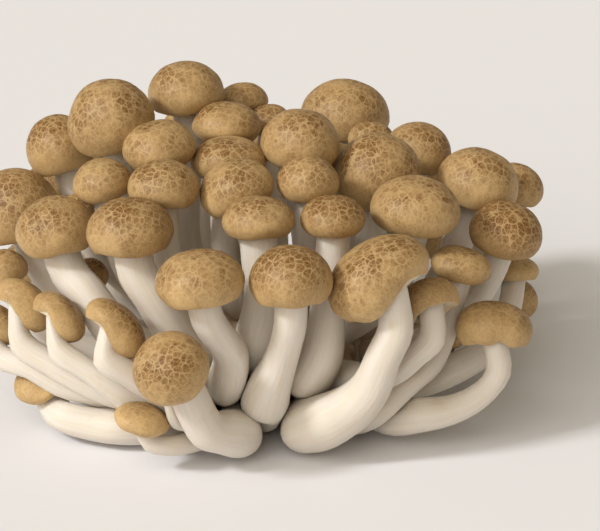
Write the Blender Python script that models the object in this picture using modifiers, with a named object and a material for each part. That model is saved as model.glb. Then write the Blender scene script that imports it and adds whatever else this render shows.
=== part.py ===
"""Beech mushroom cluster: a clump of small gilled mushrooms that grew out of one cut base.

The frame has +Z up and its origin on the ground under the middle of the base. The base is a turned
stump. Every mushroom is one closed body, stem and cap in one, because it grew as one. Its stem leaves
the stump sideways or upwards, sags, turns up and ends in the cap. The clump is first settled, so that
stems and caps lie beside each other, and then each body is pressed in where it meets its neighbours.
"""

import math
from collections import namedtuple

import bmesh
import bpy
import numpy as np
from mathutils import Vector
from mathutils.bvhtree import BVHTree

MM = 0.001

# The stump that is left where the clump was cut off: a flattened dome with a flat cut face.
STUMP_RADIUS = 22.0
STUMP_RISE = 14.0
STUMP_WAIST = 5.0
STUMP_SIDES = 28
STUMP_STEPS = 7

# Where the stems leave the stump: degrees away from straight up, for each of its rows.
ROOT_ROWS = {"low": 98.0, "side": 78.0, "shoulder": 55.0, "top": 26.0}

# The skin of one mushroom: points round it, rings along its stem, and the gap to its neighbours.
SIDES = 10
STEM_RINGS = 7
GAP = 0.35
ROOT_THICKNESS = 0.62
FLOOR_GAP = 0.6
LEAST_STEP = 0.5

# A cap's section as (share of the cap's radius, share of its height above the rim), rim to crown, and
# how high above the rim the gills meet the stem.
CAP_SECTION = [(0.86, -0.02), (1.0, 0.26), (0.90, 0.61), (0.54, 0.90)]
GILL_ROOF = 0.12
MIDDLE = 0.38

# How the clump is settled and pressed.
SETTLE_STEPS = 160
PRESS_STEPS = 14
CAP_FIRMNESS = 0.12
CAP_SOFTNESS = 0.84

Mushroom = namedtuple(
    "Mushroom", "name x y z radius height toward lean neck belly root row"
)

# One row for each mushroom, in millimetres and degrees: the middle of its cap, the cap's radius and
# height, where the cap leans and how far, the stem's radius at the neck and at its thickest, and the
# direction and row of its root on the stump.
CLUMP = [
    Mushroom("crown_01", -34.2, 6, 62.5, 9.8, 13.8, 200, 12, 3.4, 3.9, 172, "side"),
    Mushroom("crown_02", -15.1, 14, 63.7, 8.7, 10.5, 120, 6, 3.2, 3.6, 140, "shoulder"),
    Mushroom("crown_03", -23, -6, 60.2, 8.2, 8.4, 200, 6, 3.1, 3.6, 195, "shoulder"),
    Mushroom("crown_04", -10.9, 8, 60.8, 7.8, 7.4, 90, 4, 2.9, 3.4, 140, "top"),
    Mushroom("crown_05", -7.6, -5, 57, 8.4, 7.6, 90, 4, 3.0, 3.4, 215, "top"),
    Mushroom("crown_06", -4.9, -18, 54.5, 8.2, 9.4, 190, 16, 3.0, 3.4, 262, "top"),
    Mushroom("crown_07", 8, -2, 60, 8.8, 11, 20, 5, 3.2, 3.6, 0, "top"),
    Mushroom("crown_08", 9.7, -16, 55.9, 6.9, 8.0, 90, 2, 2.9, 3.4, 310, "top"),
    Mushroom("crown_09", -4.9, 27, 59.6, 5.9, 6.0, 90, 8, 2.4, 3.0, 95, "shoulder"),
    Mushroom("crown_10", 0.4, 21, 57, 5.3, 6.0, 80, 6, 2.4, 3.0, 85, "top"),
    Mushroom("crown_11", 24.5, 0, 52, 9.7, 14, 330, 10, 3.4, 3.9, 350, "shoulder"),
    Mushroom("crown_12", 17, 8, 51, 5.6, 7, 30, 10, 2.3, 2.9, 40, "top"),
    Mushroom("crown_13", 18.5, 40, 52, 10.6, 13, 80, 12, 3.6, 4.1, 65, "shoulder"),
    Mushroom("crown_14", 24.5, 26, 50.5, 5.6, 6.5, 60, 12, 2.4, 3.0, 40, "shoulder"),
    Mushroom("front_01", -21.5, -20, 56, 7.9, 8.5, 90, 4, 3.0, 3.6, 228, "shoulder"),
    Mushroom("front_02", -35, -14, 55, 6.6, 7.4, 180, 8, 2.8, 3.4, 205, "shoulder"),
    Mushroom("front_03", -1, -29, 52.2, 7.8, 7.4, 90, 6, 4.0, 5.2, 272, "shoulder"),
    Mushroom("front_04", 15, -27, 51.7, 7.0, 7.0, 90, 2, 3.7, 6.2, 296, "shoulder"),
    Mushroom("front_05", -45, -20, 46.5, 8.7, 10.6, 160, 8, 4.1, 5.4, 210, "side"),
    Mushroom("front_06", -28, -32, 51, 9.4, 10.2, 120, 6, 4.2, 5.6, 232, "side"),
    Mushroom("front_07", -13, -46, 45, 9.4, 9.8, 130, 9, 3.6, 4.6, 254, "side"),
    Mushroom("front_08", 6, -45, 45, 8.8, 10.8, 110, 8, 3.5, 5.6, 266, "low"),
    Mushroom("front_09", 24.5, -40, 42.9, 12.2, 12.6, 188, 28, 3.8, 6.4, 286, "low"),
    Mushroom("front_10", 35.1, -31, 33.6, 7.0, 7.4, 125, 50, 3.0, 4.4, 303, "side"),
    Mushroom("front_11", -19, -54, 28.7, 8.1, 10.2, 245, 38, 4.1, 5.6, 258, "low"),
    Mushroom("front_12", -30.6, -44, 33.2, 7.9, 7.2, 10, 48, 2.9, 4.6, 240, "low"),
    Mushroom("front_13", -19.5, -47, 18.5, 1.9, 3.0, 120, 8, 1.4, 1.7, 252, "low"),
    Mushroom("left_01", -46.7, 14, 53, 7.7, 11.6, 165, 16, 3.1, 3.7, 158, "shoulder"),
    Mushroom("left_02", -56.2, 5, 41.8, 9.7, 13.8, 178, 18, 3.6, 4.2, 182, "side"),
    Mushroom("left_03", -43.4, -33, 31.2, 6.8, 6.2, 8, 46, 2.6, 4.6, 230, "low"),
    Mushroom("left_04", -51.5, -26, 31, 7.5, 7.0, 12, 44, 2.8, 4.6, 222, "low"),
    Mushroom("left_05", -58.5, -17, 22.7, 6.0, 5.8, 10, 40, 2.6, 4.1, 208, "low"),
    Mushroom("left_06", -58.6, -4, 30, 5.5, 7.0, 180, 25, 2.8, 3.5, 193, "side"),
    Mushroom("left_07", -48.8, -23, 12.3, 6.9, 5.2, 215, 28, 3.4, 4.7, 216, "low"),
    Mushroom("left_08", -25.2, -45.5, 13.6, 6.0, 4.4, 345, 14, 2.3, 3.2, 244, "low"),
    Mushroom("left_09", -39, -8, 31, 4.6, 6.0, 190, 15, 2.3, 2.8, 197, "side"),
    Mushroom("left_10", -41.4, -4, 44.6, 4.2, 5.4, 180, 12, 2.3, 2.9, 186, "shoulder"),
    Mushroom("right_01", 35, 18, 51, 7.8, 9.5, 20, 10, 3.0, 3.6, 25, "shoulder"),
    Mushroom("right_02", 33, -17, 50, 9.9, 10.5, 30, 8, 3.5, 4.1, 325, "shoulder"),
    Mushroom("right_03", 48, 5, 48, 9.4, 11.5, 10, 18, 3.4, 4.0, 8, "side"),
    Mushroom("right_04", 57.9, 20, 41.5, 6.4, 7.8, 20, 20, 2.8, 3.4, 22, "side"),
    Mushroom("right_05", 53.5, -8, 41.2, 8.2, 9.6, 340, 14, 3.1, 3.8, 348, "side"),
    Mushroom("right_06", 43, -20, 37.8, 6.8, 6.0, 20, 14, 3.0, 4.6, 312, "low"),
    Mushroom("right_07", 57, 10, 24.5, 5.8, 5.0, 90, 14, 2.8, 3.9, 338, "low"),
    Mushroom("right_08", 59, 15, 15.5, 4.8, 6.0, 10, 55, 2.4, 3.3, 350, "low"),
    Mushroom("right_09", 49.8, -27, 26.4, 8.9, 8.6, 60, 10, 2.8, 4.8, 322, "low"),
    Mushroom("right_10", 41.4, -12, 17.6, 3.0, 3.6, 340, 16, 1.9, 2.3, 340, "low"),
    Mushroom("back_01", -50, 30, 37, 8.4, 10, 150, 24, 3.2, 3.9, 150, "side"),
    Mushroom("back_02", -34, 33, 47, 8.4, 10, 135, 16, 3.2, 3.8, 128, "side"),
    Mushroom("back_03", -16, 40, 49, 8.6, 10.5, 110, 14, 3.2, 3.8, 110, "side"),
    Mushroom("back_04", 2, 42, 44, 8.0, 9.5, 90, 16, 3.1, 3.8, 88, "side"),
    Mushroom("back_05", 37, 42, 38, 8.2, 10, 50, 22, 3.2, 3.9, 45, "side"),
    Mushroom("back_06", 50, 34, 28, 7.4, 9, 35, 26, 3.0, 3.8, 38, "low"),
    Mushroom("back_07", -40, 44, 27, 7.6, 9, 130, 28, 3.1, 3.9, 132, "low"),
    Mushroom("back_08", -20, 52, 32, 8.2, 10, 110, 24, 3.3, 4.2, 112, "low"),
    Mushroom("back_09", 1, 55, 27, 8.0, 9.5, 90, 28, 3.3, 4.3, 92, "low"),
    Mushroom("back_10", 21, 52.5, 30, 7.6, 9, 70, 26, 3.1, 4.1, 70, "low"),
    Mushroom("back_11", 37, 48, 17, 6.6, 7.5, 50, 34, 2.8, 3.8, 54, "low"),
    Mushroom("back_12", -55, 16, 24, 7.0, 8.5, 165, 30, 3.0, 3.8, 168, "low"),
]

# Points on the way of the outer stems, from the root up: where they hang lowest and where they bend.
WAYS = {
    "front_03": [(-2.5, -33, 21), (0, -31, 37)],
    "front_04": [(8, -33, 13), (12, -33.5, 21), (14, -31, 35)],
    "front_05": [(-32, -28, 25), (-38, -26, 33)],
    "front_06": [(-17, -32, 24), (-24, -34, 37)],
    "front_07": [(-8, -36, 15), (-6.5, -41, 25)],
    "front_08": [(-2, -37, 11.5), (3.5, -42, 25)],
    "front_09": [(9.5, -37.5, 9), (17.5, -40, 13), (24.5, -43, 22.5), (27, -43.5, 32)],
    "front_10": [(25, -33, 14), (31.5, -35, 21.5)],
    "front_11": [(-7, -41, 8.5), (-12, -46, 11)],
    "front_12": [(-14, -37, 11), (-26, -46.5, 21), (-33.5, -47.5, 28)],
    "front_13": [(-13, -38, 9.5), (-18.5, -46, 12.5)],
    "left_03": [(-20, -38, 10.5), (-34, -39, 19), (-44.5, -36.5, 25.5)],
    "left_04": [(-25, -33, 9.5), (-39, -34, 16), (-51.5, -30, 23)],
    "left_05": [(-26, -27, 8), (-41, -28, 11), (-54.5, -22, 15.5)],
    "left_07": [(-26, -32, 6.5), (-38, -31, 5.8), (-46, -27.5, 6.6)],
    "left_08": [(-13, -37, 6), (-20.5, -45, 7)],
    "right_06": [(26, -31, 11.5), (36, -27, 18)],
    "right_07": [(34, -20, 10), (48, -12, 13), (55.5, 3, 18)],
    "right_08": [(34, -12, 7), (50, -1, 8.5)],
    "right_09": [(31, -33, 9), (44.5, -32.5, 11), (50.5, -31, 18)],
}

# Where a cap's edge curls round its stem: the side, in degrees, and the share of the cap's radius that
# the notch takes. Such a cap is a little narrower that way, its stem stands aside of its middle by
# this share of its radius, and its brim clears the stem all round.
NOTCHES = {
    "front_09": (300, 0.28),
    "front_12": (262, 0.38),
    "left_03": (262, 0.38),
    "left_04": (262, 0.36),
    "left_05": (262, 0.30),
    "right_09": (275, 0.12),
}
NOTCH_WIDTH = 50.0
NARROWER = 0.12
ASIDE = 0.16
LEAST_BRIM = 0.6

SKIN = {"color": (0.42, 0.26, 0.12, 1), "roughness": 0.55}
RESIDUE = {"color": (0.34, 0.24, 0.15, 1), "roughness": 0.9}


def heading(azimuth, polar):
    """The unit direction at this azimuth, this many degrees away from straight up."""
    turn, tip = math.radians(azimuth), math.radians(polar)
    return np.array(
        [math.cos(turn) * math.sin(tip), math.sin(turn) * math.sin(tip), math.cos(tip)]
    )


def on_stump(direction):
    """The point of the stump's dome in this direction from its middle."""
    flat = np.hypot(direction[0], direction[1]) / STUMP_RADIUS
    reach = 1 / math.hypot(flat, direction[2] / STUMP_RISE)
    return direction * reach + np.array([0, 0, STUMP_WAIST])


def bezier(a, b, c, d, t):
    """Points of a cubic curve at the shares t of its length."""
    t = np.asarray(t)[:, None]
    return a * (1 - t) ** 3 + 3 * b * t * (1 - t) ** 2 + 3 * c * t * t * (1 - t) + d * t**3


def through(knots, count):
    """Evenly spaced points of a smooth curve through the knots."""
    knots = np.array(knots, float)
    chords = np.linalg.norm(np.diff(knots, axis=0), axis=1)
    at = np.concatenate([[0], np.cumsum(chords)])
    slopes = np.gradient(knots, at, axis=0)
    fine = [
        bezier(a, a + p * chord / 3, b - q * chord / 3, b, np.linspace(0, 1, 9)[:-1])
        for a, b, p, q, chord in zip(knots, knots[1:], slopes, slopes[1:], chords)
    ]
    fine = np.concatenate([*fine, knots[-1:]])
    run = np.concatenate([[0], np.cumsum(np.linalg.norm(np.diff(fine, axis=0), axis=1))])
    even = np.linspace(0, run[-1], count)
    return np.stack([np.interp(even, run, fine[:, i]) for i in range(3)], axis=1)


def notch_side(mushroom, axis):
    """The direction, square to the cap's axis, on which the cap's edge curls round its stem."""
    side = heading(NOTCHES[mushroom.name][0], 90)
    side = side - axis * (side @ axis)
    return side / np.linalg.norm(side)


def aside(mushroom, axis):
    """How far a notched cap's stem stands off the cap's middle."""
    if mushroom.name not in NOTCHES:
        return np.zeros(3)
    return notch_side(mushroom, axis) * mushroom.radius * ASIDE


def stem_route(mushroom):
    """The centreline of a stem from its root to the rim plane of its cap."""
    out = heading(mushroom.root, ROOT_ROWS[mushroom.row])
    root = on_stump(out)
    axis = heading(mushroom.toward, mushroom.lean)
    rim = np.array(mushroom[1:4], float) - axis * MIDDLE * mushroom.height + aside(mushroom, axis)
    if mushroom.name in WAYS:
        coming = rim - np.array(WAYS[mushroom.name][-1], float)
        coming = coming / np.linalg.norm(coming) + axis
        neck = rim - coming / np.linalg.norm(coming) * mushroom.neck * 1.6
        return through([root, *WAYS[mushroom.name], neck, rim], STEM_RINGS + 2)
    span = np.linalg.norm(rim - root)
    lead = rim - axis * span * (0.42 if mushroom.lean < 30 else 0.30)
    return through(
        bezier(root, root + out * span * 0.42, lead, rim, np.linspace(0, 1, 9)), STEM_RINGS + 2
    )


def stem_radius(mushroom, t):
    """The stem's radius at the share t of the way from its root to its cap."""
    rooted = ROOT_THICKNESS + (1 - ROOT_THICKNESS) * min(1.0, t / 0.14)
    swell = 0.5 + 0.5 * math.cos(math.pi * min(1.0, abs(t - 0.26) / 0.52))
    return rooted * (mushroom.neck + (mushroom.belly - mushroom.neck) * swell)


def settle(clump):
    """Moves the stems' centrelines and, a little, the caps, until they lie beside each other."""
    routes = np.array([stem_route(m) for m in clump])
    meant = routes.copy()
    held = np.array([0.12 if m.name in WAYS else 0.0 for m in clump])[:, None, None]
    t = np.linspace(0, 1, STEM_RINGS + 2)
    radii = np.array([[stem_radius(m, s) for s in t] for m in clump])
    axes = np.array([heading(m.toward, m.lean) for m in clump])
    rise = np.array([m.height * MIDDLE for m in clump])
    offsets = np.array([aside(m, axis) for m, axis in zip(clump, axes)])
    cap_radii = np.array([m.radius for m in clump]) * CAP_SOFTNESS
    bend = routes[:, 1:-1] - (routes[:, :-2] + routes[:, 2:]) / 2
    count, points = routes.shape[:2]
    owner = np.repeat(np.arange(count), points + 1)
    for _ in range(SETTLE_STEPS):
        caps = routes[:, -1] + axes * rise[:, None] - offsets
        centres = np.concatenate([routes, caps[:, None]], axis=1).reshape(-1, 3)
        sizes = np.concatenate([radii, cap_radii[:, None]], axis=1).reshape(-1)
        apart = centres[:, None] - centres[None]
        distance = np.linalg.norm(apart, axis=2) + 1e-9
        reach = sizes[:, None] + sizes[None] + GAP
        depth = np.where(owner[:, None] != owner[None], reach - distance, 0).clip(0)
        push = (apart / distance[..., None] * depth[..., None]).sum(axis=1) * 0.22
        push = push.reshape(count, points + 1, 3)
        routes[:, 1:-1] += push[:, 1:-2]
        shift = (push[:, -1] + push[:, -2]) * CAP_FIRMNESS
        routes[:, -1] += shift
        routes[:, -2] += shift * 0.6
        routes[:, 0] += push[:, 0] * 0.5
        even = (routes[:, :-2] + routes[:, 2:]) / 2 + bend
        routes[:, 1:-1] += (even - routes[:, 1:-1]) * 0.35
        routes += (meant - routes) * held
        keep_outside_stump(routes, radii)
        lowest = radii[:, 1:] + FLOOR_GAP
        routes[:, 1:, 2] = np.maximum(routes[:, 1:, 2], lowest)
    return routes, radii, axes


def keep_outside_stump(routes, radii):
    """Puts the roots back on the stump and the rest of each stem outside it."""
    middle = np.array([0, 0, STUMP_WAIST])
    for route, radius in zip(routes, radii):
        for i, point in enumerate(route[:-1]):
            out = point - middle
            out = out / np.linalg.norm(out)
            surface = on_stump(out)
            clear = radius[i] * (0.45 if i == 0 else 0.75 if i == 1 else 1.0) + GAP
            height = (point - surface) @ out
            if i == 0 or height < clear:
                route[i] = surface + out * clear


def frames_along(route, last):
    """Two cross directions at each point of a route, turned as little as possible; last is the cap's."""
    tangents = np.gradient(route, axis=0)
    tangents[-1] = last
    tangents /= np.linalg.norm(tangents, axis=1)[:, None]
    side = np.cross(tangents[0], [0.0, 0.0, 1.0])
    if np.linalg.norm(side) < 0.1:
        side = np.cross(tangents[0], [1.0, 0.0, 0.0])
    sides = []
    for tangent in tangents:
        side = side - tangent * (side @ tangent)
        side = side / np.linalg.norm(side)
        sides.append(side)
    sides = np.array(sides)
    return tangents, sides, np.cross(tangents, sides)


def unfold(rings, tangents):
    """Moves on the points of a ring that a sharp bend has put behind the ring before it."""
    for i in range(1, len(rings)):
        ahead = tangents[i - 1] + tangents[i]
        ahead /= np.linalg.norm(ahead)
        short = LEAST_STEP - (rings[i] - rings[i - 1]) @ ahead
        rings[i] += np.clip(short, 0, None)[:, None] * ahead


def brim(mushroom, circle, axis, up):
    """The share of the cap's radius that each point round it has, less where the edge is notched."""
    if mushroom.name not in NOTCHES:
        return np.ones(len(circle))
    facing = circle @ notch_side(mushroom, axis)
    off = np.degrees(np.arccos(facing.clip(-1, 1)))
    depth = NOTCHES[mushroom.name][1] * min(1.0, 1.4 - up)
    share = (1 - depth * np.exp(-((off / NOTCH_WIDTH) ** 2))) * (1 - NARROWER * facing**2)
    least = mushroom.neck + LEAST_BRIM + mushroom.radius * ASIDE * facing
    return np.maximum(share, least / mushroom.radius)


def skin(mushroom, route, radii, axis):
    """The rings of one mushroom from its root up its stem, round the gills and over the cap."""
    tangents, sides, ups = frames_along(route, axis)
    turn = 2 * math.pi * np.arange(SIDES) / SIDES
    circle = [
        np.cos(turn)[:, None] * side + np.sin(turn)[:, None] * up
        for side, up in zip(sides, ups)
    ]
    rings = [route[i] + circle[i] * radii[i] for i in range(len(route) - 1)]
    unfold(rings, tangents)
    rim = route[-1]
    rings.append(rim + circle[-1] * mushroom.neck + axis * mushroom.height * GILL_ROOF)
    rim = rim - aside(mushroom, axis)
    for share, up in CAP_SECTION:
        spread = mushroom.radius * share * brim(mushroom, circle[-1], axis, up)
        rings.append(rim + circle[-1] * spread[:, None] + axis * mushroom.height * up)
    root = route[0] - (route[1] - route[0]) * 0.02
    crown = rim + axis * mushroom.height
    return root, rings, crown


def body_of(root, rings, crown):
    """A closed skin over the rings: its points, its faces and the middle that each point is held to.

    A stem's points are held to the middle of their own ring, and a cap's to the middle of the cap.
    """
    points = np.concatenate([[root], *rings, [crown]])
    stem = len(rings) - len(CAP_SECTION)
    cap_middle = (rings[stem + 1].mean(axis=0) + crown) / 2
    middles = [ring.mean(axis=0) for ring in rings[:stem]] + [cap_middle] * len(CAP_SECTION)
    held = [np.tile(middle, (SIDES, 1)) for middle in middles]
    centres = np.concatenate([[rings[0].mean(axis=0)], *held, [cap_middle]])
    faces = []
    for i in range(SIDES):
        j = (i + 1) % SIDES
        faces.append((0, 1 + j, 1 + i))
        for ring in range(len(rings) - 1):
            a = 1 + ring * SIDES
            faces.append((a + i, a + j, a + SIDES + j))
            faces.append((a + i, a + SIDES + j, a + SIDES + i))
        top = 1 + (len(rings) - 1) * SIDES
        faces.append((top + i, top + j, len(points) - 1))
    return points, faces, centres


def tree_of(points, faces):
    return BVHTree.FromPolygons([Vector(p) for p in points], faces)


def near(a, b):
    """Whether two bodies' boxes come within a gap of each other."""
    return (a.min(0) < b.max(0) + 2 * GAP).all() and (b.min(0) < a.max(0) + 2 * GAP).all()


def overreach(points, centres, tree):
    """How far each point's spoke, from the middle of its own body, runs into the tree's body."""
    deep = np.zeros(len(points))
    spokes = points - centres
    lengths = np.linalg.norm(spokes, axis=1)
    for i in np.flatnonzero(lengths > 1e-6):
        along = Vector(spokes[i] / lengths[i])
        _, normal, _, distance = tree.ray_cast(Vector(centres[i]), along, lengths[i] + GAP)
        if distance is not None and normal.dot(along) < 0:
            deep[i] = lengths[i] + GAP - distance
    return deep


def too_near(points, tree):
    """The moves that put points lying just outside the tree's body a full gap away from it."""
    moves = np.zeros_like(points)
    for i, point in enumerate(points):
        nearest, normal, _, distance = tree.find_nearest(Vector(point), GAP)
        if nearest is not None:
            inside = (Vector(point) - nearest).dot(normal) < 0
            moves[i] = normal * (GAP + distance if inside else GAP - distance)
    return moves


def press(bodies, stump):
    """Presses every body in where it meets its neighbours, each one giving way by half."""
    for step in range(PRESS_STEPS):
        trees = [tree_of(points, faces) for points, faces, _ in bodies]
        close = step >= PRESS_STEPS - 4
        for i, (points, _, centres) in enumerate(bodies):
            others = [(trees[j], 0.5) for j, b in enumerate(bodies) if i != j and near(points, b[0])]
            others.append((stump, 1.0))
            spokes = centres - points
            spokes /= np.linalg.norm(spokes, axis=1)[:, None] + 1e-9
            move = np.zeros_like(points)
            for tree, share in others:
                found = spokes * (overreach(points, centres, tree) * share)[:, None]
                if close:
                    found = too_near(points, tree) * share
                longer = np.linalg.norm(found, axis=1) > np.linalg.norm(move, axis=1)
                move[longer] = found[longer]
            points += move
            points[:, 2] = np.maximum(points[:, 2], FLOOR_GAP)


def part_crossings(bodies, stump):
    """Draws the bodies' skins in where they still cross, until none do. It returns what is left."""
    crossing = 0
    for _ in range(60):
        trees = [tree_of(points, faces) for points, faces, _ in bodies]
        drawn = [set() for _ in bodies]
        crossing = 0
        for i, (points, faces, _) in enumerate(bodies):
            for a, _ in trees[i].overlap(stump):
                drawn[i].update(faces[a])
                crossing += 1
            for j in range(i + 1, len(bodies)):
                if not near(points, bodies[j][0]):
                    continue
                for a, b in trees[i].overlap(trees[j]):
                    drawn[i].update(faces[a])
                    drawn[j].update(bodies[j][1][b])
                    crossing += 1
        if not crossing:
            break
        for (points, _, centres), vertices in zip(bodies, drawn):
            for v in vertices:
                points[v] += (centres[v] - points[v]) * 0.05
    return crossing


def new_object(name, mesh, collection, look):
    """A named object in the collection with its own material."""
    material = bpy.data.materials.new(name + "_skin")
    material.use_nodes = True
    shader = material.node_tree.nodes["Principled BSDF"]
    shader.inputs["Base Color"].default_value = look["color"]
    shader.inputs["Roughness"].default_value = look["roughness"]
    shader.inputs["Metallic"].default_value = 0.0
    mesh.materials.append(material)
    mesh.shade_smooth()
    made = bpy.data.objects.new(name, mesh)
    collection.objects.link(made)
    return made


def make_stump(collection):
    """The stump: the dome's outline from its crown down to the cut, turned about Z."""
    cut = math.degrees(math.acos(-STUMP_WAIST / STUMP_RISE))
    outline = [on_stump(heading(0, cut * i / STUMP_STEPS)) for i in range(STUMP_STEPS)]
    low = STUMP_RADIUS * math.sqrt(1 - (STUMP_WAIST / STUMP_RISE) ** 2)
    outline += [np.array([low, 0, 0]), np.array([0, 0, 0])]
    mesh = bpy.data.meshes.new("stump")
    edges = [(i, i + 1) for i in range(len(outline) - 1)]
    mesh.from_pydata([tuple(p * MM) for p in outline], edges, [])
    stump = new_object("stump", mesh, collection, RESIDUE)
    screw = stump.modifiers.new("turned", "SCREW")
    screw.steps = STUMP_SIDES
    screw.render_steps = STUMP_SIDES
    screw.use_merge_vertices = True
    screw.merge_threshold = 0.00001
    return stump


def solid_stump(stump):
    """The stump's tree, in millimetres."""
    bpy.context.view_layer.update()
    seen = stump.evaluated_get(bpy.context.evaluated_depsgraph_get())
    mesh = seen.to_mesh()
    points = np.array([v.co / MM for v in mesh.vertices])
    faces = [tuple(p.vertices) for p in mesh.polygons]
    seen.to_mesh_clear()
    return tree_of(points, faces)


def make_mushroom(name, body, collection):
    """One mushroom's mesh from its pressed skin."""
    points, faces, _ = body
    shape = bmesh.new()
    vertices = [shape.verts.new(tuple(p * MM)) for p in points]
    for face in faces:
        shape.faces.new([vertices[i] for i in face])
    bmesh.ops.recalc_face_normals(shape, faces=shape.faces[:])
    mesh = bpy.data.meshes.new(name)
    shape.to_mesh(mesh)
    shape.free()
    new_object(name, mesh, collection, SKIN)


def build():
    for old in list(bpy.data.objects):
        bpy.data.objects.remove(old)
    collection = bpy.data.collections.new("beech_mushroom_cluster")
    bpy.context.scene.collection.children.link(collection)
    stump = solid_stump(make_stump(collection))
    routes, radii, axes = settle(CLUMP)
    bodies = [
        body_of(*skin(mushroom, route, radius, axis))
        for mushroom, route, radius, axis in zip(CLUMP, routes, radii, axes)
    ]
    press(bodies, stump)
    print("crossings left:", part_crossings(bodies, stump))
    for mushroom, body in zip(CLUMP, bodies):
        make_mushroom(mushroom.name, body, collection)


build()
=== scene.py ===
import math

import bmesh
import bpy
import numpy as np
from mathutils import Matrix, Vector, noise


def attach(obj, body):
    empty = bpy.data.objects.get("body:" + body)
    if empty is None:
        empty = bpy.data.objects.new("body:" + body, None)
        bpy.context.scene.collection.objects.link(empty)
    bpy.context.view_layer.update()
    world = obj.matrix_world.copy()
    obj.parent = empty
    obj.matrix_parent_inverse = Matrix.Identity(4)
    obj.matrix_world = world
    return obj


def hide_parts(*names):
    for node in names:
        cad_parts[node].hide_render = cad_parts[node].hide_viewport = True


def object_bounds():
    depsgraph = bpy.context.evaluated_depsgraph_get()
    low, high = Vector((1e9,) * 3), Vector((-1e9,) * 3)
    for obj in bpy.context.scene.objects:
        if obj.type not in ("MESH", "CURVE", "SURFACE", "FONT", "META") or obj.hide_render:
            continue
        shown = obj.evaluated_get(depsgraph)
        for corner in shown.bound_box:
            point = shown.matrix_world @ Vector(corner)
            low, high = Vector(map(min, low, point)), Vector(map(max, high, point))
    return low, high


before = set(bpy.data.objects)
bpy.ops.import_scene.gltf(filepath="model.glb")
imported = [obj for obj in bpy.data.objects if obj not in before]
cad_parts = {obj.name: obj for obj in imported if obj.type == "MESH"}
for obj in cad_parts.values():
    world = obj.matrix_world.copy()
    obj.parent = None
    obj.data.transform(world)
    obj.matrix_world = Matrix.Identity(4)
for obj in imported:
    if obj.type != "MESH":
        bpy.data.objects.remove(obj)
cad_low, cad_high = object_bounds()

# The surface and the light: the clump stands on a plain pale table that runs back out of sight. A soft
# lamp shines from the left, 38 degrees up, a wide window lights the front, and a warm room fills the rest.
TABLE_HALF = 3.0
TABLE_WHITE = (0.79, 0.785, 0.81, 1)
ROOM_WARMTH = (1.0, 0.89, 0.69, 1)
ROOM_POWER = 0.36

floor_mesh = bpy.data.meshes.new("table_top")
floor_shape = bmesh.new()
bmesh.ops.create_grid(floor_shape, x_segments=1, y_segments=1, size=TABLE_HALF)
floor_shape.to_mesh(floor_mesh)
floor_shape.free()
floor = bpy.data.objects.new("table_top", floor_mesh)
bpy.context.scene.collection.objects.link(floor)
paper = bpy.data.materials.new("pale_table")
paper.use_nodes = True
paper_shader = paper.node_tree.nodes["Principled BSDF"]
paper_shader.inputs["Base Color"].default_value = TABLE_WHITE
paper_shader.inputs["Roughness"].default_value = 0.75
paper_shader.inputs["Specular IOR Level"].default_value = 0.2
floor_mesh.materials.append(paper)


def look_along(thing, direction):
    """Turns a lamp or a camera to face along this direction."""
    thing.rotation_euler = Vector(direction).to_track_quat("-Z", "Y").to_euler()


def new_lamp(name, power, width, color, turn, rise):
    """A far lamp, its width, turn and rise in degrees, that shines along its turn and down by its rise."""
    light = bpy.data.lights.new(name, "SUN")
    light.energy = power
    light.angle = math.radians(width)
    light.color = color
    lamp = bpy.data.objects.new(name, light)
    bpy.context.scene.collection.objects.link(lamp)
    turn, rise = math.radians(turn), math.radians(rise)
    level = math.cos(rise)
    look_along(lamp, (math.cos(turn) * level, math.sin(turn) * level, -math.sin(rise)))


new_lamp("soft_lamp", power=1.95, width=9, color=(0.985, 0.985, 0.99), turn=27, rise=38)
new_lamp("wide_window", power=1.65, width=60, color=(1.0, 0.955, 0.89), turn=58, rise=36)

room = bpy.data.worlds.new("room")
room.use_nodes = True
room.node_tree.nodes["Background"].inputs["Color"].default_value = ROOM_WARMTH
room.node_tree.nodes["Background"].inputs["Strength"].default_value = ROOM_POWER
bpy.context.scene.world = room
bpy.context.scene.view_settings.view_transform = "Standard"

CAMERA_TIP = math.radians(22)
CAMERA_DISTANCE = 0.62
CAMERA_AIM = Vector((0.0079, 0.0, 0.0295))
CAMERA_LENS = 165.4
SENSOR_WIDTH = 36
camera_lens = bpy.data.cameras.new("camera")
camera_lens.lens = CAMERA_LENS
camera_lens.sensor_width = SENSOR_WIDTH
camera = bpy.data.objects.new("camera", camera_lens)
bpy.context.scene.collection.objects.link(camera)
sight = Vector((0, math.cos(CAMERA_TIP), -math.sin(CAMERA_TIP)))
camera.location = CAMERA_AIM - sight * CAMERA_DISTANCE
look_along(camera, sight)
bpy.context.scene.camera = camera


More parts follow.
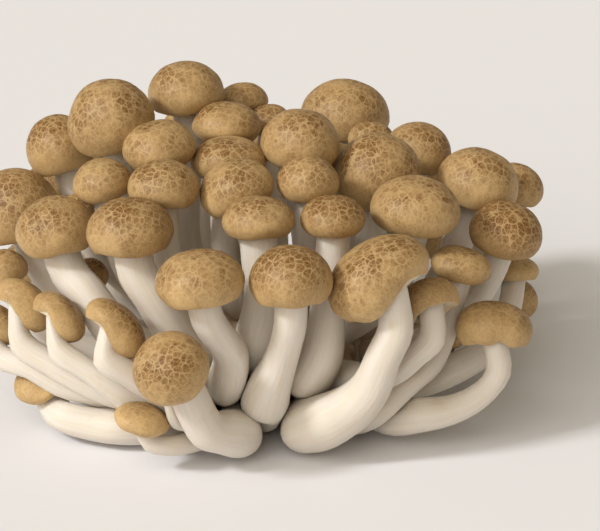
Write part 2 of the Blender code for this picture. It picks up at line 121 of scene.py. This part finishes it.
# The cut base: the stems' feet, grown together into one stump and cut off flat, with the dry brown
# rest of the growing block still on the cut. It is matt and crumbly below and creamy above.
class Wire:
    """A value, colour or direction inside a finish, so that a finish is written as a sum."""

    def __init__(self, tree, socket=None):
        self.tree = tree
        self.socket = socket

    def node(self, kind, settings=None, inputs=None, output=0):
        """A new node of this kind, its settings set and its inputs given or linked."""
        made = self.tree.nodes.new("ShaderNode" + kind)
        for key, value in (settings or {}).items():
            setattr(made, key, value)
        for key, value in (inputs or {}).items():
            if isinstance(value, Wire):
                self.tree.links.new(value.socket, made.inputs[key])
            else:
                made.inputs[key].default_value = value
        return Wire(self.tree, made.outputs[output])

    def __add__(self, other):
        return self.node("Math", {"operation": "ADD"}, {0: self, 1: other})

    def __sub__(self, other):
        return self.node("Math", {"operation": "SUBTRACT"}, {0: self, 1: other})

    def __mul__(self, other):
        return self.node("Math", {"operation": "MULTIPLY"}, {0: self, 1: other})

    def __rsub__(self, other):
        return self.node("Math", {"operation": "SUBTRACT"}, {0: other, 1: self})

    __radd__ = __add__
    __rmul__ = __mul__

    def between(self, low, high):
        """0 where this is below low, 1 where it is above high, and smooth in between."""
        bounds = {"Value": self, "From Min": low, "From Max": high}
        return self.node("MapRange", {"interpolation_type": "SMOOTHSTEP"}, bounds)

    def tint(self, first, second):
        """The first colour where this is 0 and the second where it is 1."""
        settings = {"data_type": "RGBA"}
        return self.node("Mix", settings, {0: self, 6: first, 7: second}, 2)


def new_finish(name, **constants):
    """A material and its wire, with what is the same all over set on its shader."""
    material = bpy.data.materials.new(name)
    material.use_nodes = True
    shader = material.node_tree.nodes["Principled BSDF"]
    for socket, value in constants.items():
        shader.inputs[socket.replace("_", " ")].default_value = value
    return material, Wire(material.node_tree)


def dress(material, wires, bump, depth):
    """Links the finish's wires to its shader, and its bump, whose depth is in metres."""
    tree = material.node_tree
    shader = tree.nodes["Principled BSDF"]
    for socket, wire in wires.items():
        tree.links.new(wire.socket, shader.inputs[socket])
    relief = bump.node("Bump", None, {"Height": bump, "Distance": depth, "Strength": 1.0})
    tree.links.new(relief.socket, shader.inputs["Normal"])


def grown_piece(name, shape, material, node):
    """A finished piece of the clump: smooth, in its finish, riding on the clump."""
    bmesh.ops.recalc_face_normals(shape, faces=shape.faces[:])
    for face in shape.faces:
        face.smooth = True
    mesh = bpy.data.meshes.new(name)
    shape.to_mesh(mesh)
    shape.free()
    mesh.materials.append(material)
    piece = bpy.data.objects.new(name, mesh)
    bpy.context.scene.collection.objects.link(piece)
    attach(piece, "root")
    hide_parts(node)


FLESH_DARK, FLESH_PALE = (0.50, 0.37, 0.24, 1), (0.68, 0.55, 0.41, 1)
CRUST_DARK, CRUST_PALE = (0.05, 0.028, 0.012, 1), (0.27, 0.17, 0.09, 1)
CRUMB_LUMPS = 300
CRUMB_HEIGHT = 0.0005
STUMP_SHRINK = 0.0003
FLAT_FOOT = 0.002
SAME_POINT = 1e-6

crust, wire = new_finish("cut_base", Roughness=0.9)
place = wire.node("TexCoord", None, None, 3)
height = wire.node("SeparateXYZ", None, {0: place}, 2)
crumbs = wire.node("TexNoise", None, {"Vector": place, "Scale": 420.0, "Detail": 6.0})
patches = wire.node("TexNoise", None, {"Vector": place, "Scale": 90.0, "Detail": 3.0})
browned = 1 - (height + (patches - 0.5) * 0.008).between(0.002, 0.009)
flesh_tone = crumbs.between(0.3, 0.75).tint(FLESH_DARK, FLESH_PALE)
crust_tone = crumbs.between(0.35, 0.7).tint(CRUST_DARK, CRUST_PALE)
tone = browned.tint(flesh_tone, crust_tone)
dress(crust, {"Base Color": tone}, crumbs, 0.0006)

stump = bmesh.new()
stump.from_mesh(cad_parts["stump"].data)
bmesh.ops.remove_doubles(stump, verts=stump.verts[:], dist=SAME_POINT)
bmesh.ops.subdivide_edges(stump, edges=stump.edges[:], cuts=2, use_grid_fill=True)
for point in stump.verts:
    lift = min(1.0, point.co.z / FLAT_FOOT)
    rough = noise.noise(point.co * CRUMB_LUMPS) * CRUMB_HEIGHT * lift
    outward = Vector((point.co.x, point.co.y, 0)).normalized()
    point.co += outward * (rough - STUMP_SHRINK * lift)
grown_piece("cut_base", stump, crust, "stump")

# The stems: thick, white, solid stems, one to a mushroom, grown up and outward from the base. Their
# flesh is firm, with a matt skin of fine lengthwise fibres that browns a little where it was touched.
CAP_RINGS = 4
CORNER_SOFTNESS = 4.0

mushrooms = sorted(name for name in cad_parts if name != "stump")


def linked(point):
    """The points that an edge joins to this one."""
    return {edge.other_vert(point) for edge in point.link_edges}


def ring_under(ring, passed):
    """The ring of points below this one, each straight under its own."""
    return [
        next(point for point in linked(a) & linked(b) if point not in passed)
        for a, b in zip(ring, ring[1:] + ring[:1])
    ]


def crown_ring(crown):
    """The points round a crown, in the order that doesn't twist the rings below."""
    ring = [min(linked(crown), key=lambda point: point.index)]
    while len(ring) < len(linked(crown)):
        beside = [p for p in linked(ring[-1]) & linked(crown) if p not in ring]
        ring.append(min(beside, key=lambda point: point.index) if len(ring) == 1 else beside[0])
    orders = [ring, ring[::-1]]
    passed = {crown, *ring}

    def twist(order):
        below = ring_under(order, passed)
        return sum((a.co - b.co).length for a, b in zip(order, below))

    return min(orders, key=twist)


def grown_rings(name):
    """A mushroom's own rings of points, from the crown of its cap down to its root."""
    skin = bmesh.new()
    skin.from_mesh(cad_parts[name].data)
    bmesh.ops.remove_doubles(skin, verts=skin.verts[:], dist=SAME_POINT)
    skin.verts.index_update()
    ends = sorted(skin.verts, key=lambda point: -len(point.link_edges))[:2]
    root, crown = sorted(ends, key=lambda point: point.co.length)
    rings = [crown_ring(crown)]
    passed = {crown, root, *rings[0]}
    sides = len(rings[0])
    while len(passed) < len(skin.verts):
        rings.append(ring_under(rings[-1], passed))
        passed.update(rings[-1])
    rings = [[crown] * sides, *rings, [root] * sides]
    places = np.array([[tuple(point.co) for point in ring] for ring in rings])
    skin.free()
    return places


def around(rings, turns):
    """Each ring read smoothly at these shares of a turn, with its sharper corners softened."""
    sides = rings.shape[1]
    waves = np.fft.fft(rings, axis=1) / sides
    counts = np.fft.fftfreq(sides, 1 / sides)
    waves *= np.exp(-((np.abs(counts) / CORNER_SOFTNESS) ** 4))[None, :, None]
    return np.einsum("kmc,mn->knc", waves, np.exp(2j * np.pi * np.outer(counts, turns))).real


def drawn_through(stations, steps, rounded_start=False):
    """Rows of a smooth skin through the stations, with so many rows in each span."""
    if rounded_start:
        half = stations.shape[1] // 2
        stations = np.concatenate([np.roll(stations[1:2], half, axis=1), stations])
        steps = [0, *steps]
    gaps = np.sqrt(np.linalg.norm(np.diff(stations, axis=0), axis=2).mean(axis=1))
    at = np.concatenate([[0], np.cumsum(gaps)])
    slopes = np.gradient(stations, at, axis=0)
    rows = []
    for i, count in enumerate(steps):
        for t in np.arange(count) / max(count, 1):
            rows.append(
                stations[i] * (1 + 2 * t) * (1 - t) ** 2
                + stations[i + 1] * t * t * (3 - 2 * t)
                + slopes[i] * gaps[i] * t * (1 - t) ** 2
                - slopes[i + 1] * gaps[i] * t * t * (1 - t)
            )
    rows.append(stations[-1])
    return np.array(rows)


def ball_drawn_over(rows, **charts):
    """A ball whose points are carried to the rows, so that the skin is closed at both ends."""
    count, columns = rows.shape[:2]
    ball = bmesh.new()
    bmesh.ops.create_uvsphere(ball, u_segments=columns, v_segments=count - 1, radius=1)
    layers = {}
    for key, values in charts.items():
        kind = ball.verts.layers.float_vector if values.ndim == 3 else ball.verts.layers.float
        layers[key] = kind.new(key)
    rows = np.clip(rows, cad_low, cad_high)
    for point in ball.verts:
        row = round(math.acos(max(-1.0, min(1.0, point.co.z))) / math.pi * (count - 1))
        column = round(math.atan2(point.co.y, point.co.x) / math.tau * columns) % columns
        point.co = rows[row, column]
        for key, values in charts.items():
            point[layers[key]] = values[row, column]
    return ball


STEM_COLUMNS = 28
STEM_ROWS_PER_RING = 3
STEM_UNEVENNESS = 0.06
STEM_WARMTH = (1.0, 0.55, 0.3)
STEM_CREAM, STEM_WHITE = (0.65, 0.585, 0.49, 1), (0.69, 0.635, 0.565, 1)
STEM_THREAD = (0.73, 0.68, 0.61, 1)
STEM_ROOT = (0.52, 0.385, 0.25, 1)
STEM_BRUISE = (0.56, 0.42, 0.27, 1)
GRAIN_RADIUS = 0.004
GRAIN_APART = 0.2
SWELLS_ROUND, SWELLS_ALONG = 1.6, 45
STEM_INTO_CAP = 0.25
STEM_RELIEF = 0.00013

flesh, wire = new_finish(
    "stem_flesh", Roughness=0.62, Subsurface_Weight=0.30, Subsurface_Scale=0.004, Specular_IOR_Level=0.3
)
wire.tree.nodes["Principled BSDF"].inputs["Subsurface Radius"].default_value = STEM_WARMTH
grain = wire.node("Attribute", {"attribute_name": "grain"}, None, 1)
length = wire.node("Attribute", {"attribute_name": "length"}, None, 2)
fine = wire.node("VectorMath", {"operation": "MULTIPLY"}, {0: grain, 1: (2600, 170, 2600)})
threads = wire.node("TexNoise", None, {"Vector": fine, "Scale": 1.0, "Detail": 3.0})
broad = wire.node("VectorMath", {"operation": "MULTIPLY"}, {0: grain, 1: (600, 60, 600)})
bands = wire.node("TexNoise", None, {"Vector": broad, "Scale": 1.0, "Detail": 2.0})
spots = wire.node("TexNoise", None, {"Vector": grain, "Scale": 130.0, "Detail": 4.0})
tone = bands.between(0.25, 0.75).tint(STEM_CREAM, STEM_WHITE)
tone = (threads.between(0.35, 0.75) * 0.40).tint(tone, STEM_THREAD)
tone = (length.between(0.80, 1.0) * 0.55).tint(tone, STEM_ROOT)
tone = (spots.between(0.60, 0.80) * 0.40).tint(tone, STEM_BRUISE)
dress(flesh, {"Base Color": tone}, threads * 0.75 + bands * 0.25, STEM_RELIEF)

for number, name in enumerate(mushrooms):
    turns = np.arange(STEM_COLUMNS) / STEM_COLUMNS
    angles = turns * math.tau
    stations = around(grown_rings(name)[CAP_RINGS + 1 :], turns)
    inside = stations[0] + (stations[0].mean(axis=0) - stations[1].mean(axis=0)) * STEM_INTO_CAP
    top = np.tile(inside.mean(axis=0), (STEM_COLUMNS, 1))
    stations = np.concatenate([[top], [inside], stations])
    rows = drawn_through(stations, [1, 1] + [STEM_ROWS_PER_RING] * (len(stations) - 3))
    middles = rows.mean(axis=1)
    run = np.concatenate([[0], np.cumsum(np.linalg.norm(np.diff(middles, axis=0), axis=1))])
    chart = np.zeros(rows.shape)
    chart[..., 0] = np.sin(angles) * GRAIN_RADIUS
    chart[..., 1] = run[:, None] + number * GRAIN_APART
    chart[..., 2] = np.cos(angles) * GRAIN_RADIUS
    for i, row in enumerate(rows):
        for j, angle in enumerate(angles):
            side = Vector((math.cos(angle) * SWELLS_ROUND, math.sin(angle) * SWELLS_ROUND, 0))
            side.z = run[i] * SWELLS_ALONG + number
            rows[i, j] += (row[j] - middles[i]) * noise.noise(side) * STEM_UNEVENNESS
    shares = np.tile((run / run[-1])[:, None], (1, STEM_COLUMNS))
    shape = ball_drawn_over(rows, grain=chart, length=shares)
    grown_piece("stem_" + name, shape, flesh, name)

# The caps: round, tan caps with a smooth, slightly waxy skin. It is marbled with darker brown cells in
# a pale net, coarse and strong round the crown and fine and faint towards the thin, rolled-in edge.
CAP_COLUMNS = 48
LIP = 0.0009
FULL_LIP_HEIGHT = 0.008
LIP_IN, LIP_DOWN = 0.6, 0.35
INNER_IN, INNER_UP = 1.5, 0.5
ROOF_IN, ROOF_UP = 0.35, 0.16
TOP_UP = 0.12
CAP_MIDDLE = 0.3
COARSE_CELLS, FINE_CELLS = 590.0, 1250.0
SWAY = 0.0011
CAP_RELIEF = 0.00014
CHART_APART = 0.05
OUTER_STEPS = [5, 5, 4, 3]
UNDER_STEPS = [2, 2, 2, 2, 1]
BROAD_LUMPS, BROAD_LUMP_HEIGHT = 150, 0.00030
SMALL_LUMPS, SMALL_LUMP_HEIGHT = 420, 0.00006
LIGHT_TAN, DARK_BROWN = (0.675, 0.47, 0.22, 1), (0.165, 0.074, 0.018, 1)
FINE_NET, COARSE_NET = (0.60, 0.41, 0.185, 1), (0.69, 0.50, 0.25, 1)
SPECK_BROWN = (0.20, 0.10, 0.035, 1)
LIP_CREAM = (0.72, 0.61, 0.46, 1)

# How far each cap's edge waves up and down. The others wave gently.
WAVES = {
    "front_05": 0.0005,
    "front_06": 0.0007,
    "front_09": 0.0014,
    "front_10": 0.0007,
    "right_09": 0.0008,
}
GENTLE_WAVE = 0.0003
WAVES_ROUND = 1.5
OWN_WAVE = 7.3
WAVE_FULLNESS = 1.6
WAVE_ABOVE_EDGE = 0.45

# The torn or curled edges: the side each is on and its half width, in degrees, and how far it lifts.
TORN = {
    "front_09": (322, 34, 0.0034),
    "right_09": (285, 22, 0.0014),
    "front_12": (240, 32, 0.0021),
    "left_03": (240, 32, 0.0019),
    "left_04": (240, 32, 0.0019),
    "left_05": (240, 30, 0.0016),
}
LIFT_ABOVE_EDGE = 0.55

# How bare of the net a cap is: 0 has the whole net and 0.5 hardly any. The low, small caps are barest.
BARE = {
    "front_10": 0.4,
    "front_11": 0.25,
    "front_12": 0.4,
    "left_03": 0.45,
    "left_04": 0.45,
    "left_05": 0.45,
    "left_07": 0.5,
    "left_08": 0.5,
    "right_06": 0.2,
    "right_07": 0.4,
    "right_08": 0.4,
    "right_09": 0.35,
}

skin, wire = new_finish(
    "cap_skin", Roughness=0.48, Subsurface_Weight=0.05, Subsurface_Scale=0.0015, Specular_IOR_Level=0.26
)
chart = wire.node("Attribute", {"attribute_name": "chart"}, None, 1)
edge = wire.node("Attribute", {"attribute_name": "edge"}, None, 2)
sway = wire.node("TexNoise", None, {"Vector": chart, "Scale": 420.0, "Detail": 2.0}, 1)
sway = wire.node("VectorMath", {"operation": "SUBTRACT"}, {0: sway, 1: (0.5, 0.5, 0.5)})
sway = wire.node("VectorMath", {"operation": "SCALE"}, {0: sway, "Scale": SWAY})
swayed = wire.node("VectorMath", {"operation": "ADD"}, {0: chart, 1: sway})
cells = {"Vector": swayed, "Scale": COARSE_CELLS}
border = wire.node("TexVoronoi", {"feature": "DISTANCE_TO_EDGE"}, cells)
border = border - wire.node("TexVoronoi", None, cells).between(0.45, 0.85) * 0.05
cell = wire.node("SeparateColor", None, {0: wire.node("TexVoronoi", None, cells, 1)})
small = {"Vector": swayed, "Scale": FINE_CELLS}
small_border = wire.node("TexVoronoi", {"feature": "DISTANCE_TO_EDGE"}, small)
small_border = small_border - wire.node("TexVoronoi", None, small).between(0.45, 0.85) * 0.06
small_cell = wire.node("SeparateColor", None, {0: wire.node("TexVoronoi", None, small, 1)})
clouds = wire.node("TexNoise", None, {"Vector": chart, "Scale": 110.0, "Detail": 5.0})
own = wire.node("VectorMath", {"operation": "MULTIPLY"}, {0: chart, 1: (0, 0, 1)})
own = wire.node("TexNoise", None, {"Vector": own, "Scale": 190.0, "Detail": 0.0})
specks = wire.node("TexVoronoi", None, {"Vector": chart, "Scale": 1500.0})
crown = 1 - edge.between(0.38, 1.05)
broken = clouds.between(0.35, 0.60)
net = (1 - border.between(-0.02, 0.10)) * (0.12 + crown * 0.26) * (0.45 + broken * 0.55)
fine_net = (1 - small_border.between(-0.01, 0.13)) * 0.26
middle_of_cell = border.between(0.05, 0.40)
brown = 0.09 + crown * 0.29 + clouds.between(0.32, 0.66) * (0.24 + crown * 0.12)
brown = brown + cell * (0.05 + crown * 0.11) + small_cell * 0.12 + middle_of_cell * crown * 0.10
brown = brown + own.between(0.35, 0.65) * 0.16
tone = brown.tint(LIGHT_TAN, DARK_BROWN)
tone = fine_net.tint(tone, FINE_NET)
tone = net.tint(tone, COARSE_NET)
tone = ((1 - specks.between(0.08, 0.26)) * 0.45).tint(tone, SPECK_BROWN)
tone = edge.between(1.0, 1.10).tint(tone, LIP_CREAM)
sheen = 0.44 + net * 0.10 + clouds * 0.10
relief = clouds * 0.5 - net * 0.25 - fine_net * 0.35
dress(skin, {"Base Color": tone, "Roughness": sheen}, relief, CAP_RELIEF)


def cap_stations(name, number, turns):
    """A cap's rings and neck, its edge waved or torn, with the way its crown points and its height."""
    stations = around(grown_rings(name)[: CAP_RINGS + 2], turns)
    axis = stations[0, 0] - stations[CAP_RINGS].mean(axis=0)
    tall = np.linalg.norm(axis)
    axis = axis / tall
    wave = WAVES.get(name, GENTLE_WAVE)
    for ring, share in ((CAP_RINGS, 1.0), (CAP_RINGS - 1, WAVE_ABOVE_EDGE)):
        for j, turn in enumerate(turns * math.tau):
            side = Vector((math.cos(turn) * WAVES_ROUND, math.sin(turn) * WAVES_ROUND, number * OWN_WAVE))
            stations[ring, j] += axis * noise.noise(side) * wave * share * WAVE_FULLNESS
    if name in TORN:
        toward, width, lift = TORN[name]
        out = stations[CAP_RINGS] - stations[CAP_RINGS].mean(axis=0)
        off = (np.degrees(np.arctan2(out[:, 1], out[:, 0])) - toward + 180) % 360 - 180
        lifted = np.exp(-((off / width) ** 2))[:, None] * lift
        stations[CAP_RINGS] += axis * lifted
        stations[CAP_RINGS - 1] += axis * lifted * LIFT_ABOVE_EDGE
    return stations, axis, tall


for number, name in enumerate(mushrooms):
    turns = np.arange(CAP_COLUMNS) / CAP_COLUMNS
    stations, axis, tall = cap_stations(name, number, turns)
    rim, neck = stations[CAP_RINGS], stations[CAP_RINGS + 1]
    inward = neck - rim
    inward -= (inward @ axis)[:, None] * axis
    inward /= np.linalg.norm(inward, axis=1)[:, None]
    brim = LIP * min(1.0, tall / FULL_LIP_HEIGHT)
    lip = rim + inward * brim * LIP_IN - axis * brim * LIP_DOWN
    inner = rim + inward * brim * INNER_IN + axis * brim * INNER_UP
    roof = rim + (neck - rim) * ROOF_IN + axis * tall * ROOF_UP
    top = neck + axis * tall * TOP_UP
    pole = np.tile(top.mean(axis=0), (CAP_COLUMNS, 1))
    stations = np.concatenate([stations[: CAP_RINGS + 1], [lip], [inner], [roof], [top], [pole]])
    rows = drawn_through(stations, OUTER_STEPS + UNDER_STEPS, rounded_start=True)
    steps = np.linalg.norm(np.diff(rows, axis=0), axis=2).mean(axis=1)
    run = np.concatenate([[0], np.cumsum(steps)])
    bare = BARE.get(name, 0.0)
    shares = bare + (1 - bare) * run / run[sum(OUTER_STEPS)]
    shares = np.tile(shares[:, None], (1, CAP_COLUMNS))
    spread = np.zeros(rows.shape)
    spread[..., 0] = np.outer(run, np.cos(turns * math.tau))
    spread[..., 1] = np.outer(run, np.sin(turns * math.tau))
    spread[..., 2] = number * CHART_APART
    middle = rim.mean(axis=0) + axis * tall * CAP_MIDDLE
    for i in range(1, sum(OUTER_STEPS) + 2):
        for j, point in enumerate(rows[i]):
            spot = Vector(point)
            lump = noise.noise(spot * BROAD_LUMPS) * BROAD_LUMP_HEIGHT
            lump = lump + noise.noise(spot * SMALL_LUMPS) * SMALL_LUMP_HEIGHT
            out = point - middle
            rows[i, j] += out / np.linalg.norm(out) * lump
    shape = ball_drawn_over(rows, chart=spread, edge=shares)
    grown_piece("cap_" + name, shape, skin, name)

# The gills: thin, pale, close blades that hang under each cap, from the stem out to its edge. They are
# cream, and grown to the cap above and to the top of the stem.
GILLS = 54
GILL_TURNS = (0.0, 0.20, 0.34, 0.86)
HANGING = (1.0, 1.0, 0.0, 0.0)
ALONG = (0.10, 0.25, 0.45, 0.70, 0.97)
GILL_DEPTH = 0.13
GILL_SEAT, GILL_BELLY = 0.04, 0.05
BACK_UP_INSIDE, BACK_UP_OUTSIDE = 0.17, 0.08
GILL_CREAM, GILL_WHITE = (0.62, 0.50, 0.35, 1), (0.72, 0.62, 0.48, 1)

blades, wire = new_finish("gill_flesh", Roughness=0.7, Subsurface_Weight=0.2, Subsurface_Scale=0.002)
place = wire.node("TexCoord", None, None, 3)
mottle = wire.node("TexNoise", None, {"Vector": place, "Scale": 260.0, "Detail": 2.0})
tone = mottle.between(0.3, 0.7).tint(GILL_CREAM, GILL_WHITE)
dress(blades, {"Base Color": tone}, mottle, 0.0001)

gill_turns = np.array([(k + share) / GILLS for k in range(GILLS) for share in GILL_TURNS])
raised = 1 - np.tile(HANGING, GILLS)
for number, name in enumerate(mushrooms):
    stations, axis, tall = cap_stations(name, number, gill_turns)
    rim, neck = stations[CAP_RINGS], stations[CAP_RINGS + 1]
    rows = []
    for share in ALONG:
        line = rim + (neck - rim) * share
        belly = GILL_SEAT - math.sin(math.pi * share) * GILL_BELLY
        depth = GILL_DEPTH * min(1.0, share * 5) * (1 - 0.5 * share)
        rows.append(line + axis * tall * (belly + depth * raised)[:, None])
    for share, lift in ((ALONG[-1], BACK_UP_INSIDE), (ALONG[0], BACK_UP_OUTSIDE)):
        rows.append(rim + (neck - rim) * share + axis * tall * lift)
    rows = np.clip(np.array(rows), cad_low, cad_high)
    columns = len(gill_turns)
    shape = bmesh.new()
    outline = [shape.verts.new((1 + i, 0, 0)) for i in range(len(rows))]
    edges = [shape.edges.new(pair) for pair in zip(outline, outline[1:] + outline[:1])]
    bmesh.ops.spin(
        shape,
        geom=outline + edges,
        cent=(0, 0, 0),
        axis=(0, 0, 1),
        angle=math.tau,
        steps=columns,
        use_merge=True,
    )
    for point in shape.verts:
        row = round(point.co.xy.length) - 1
        column = round(math.atan2(point.co.y, point.co.x) / math.tau * columns) % columns
        point.co = rows[row, column]
    grown_piece("gills_" + name, shape, blades, name)
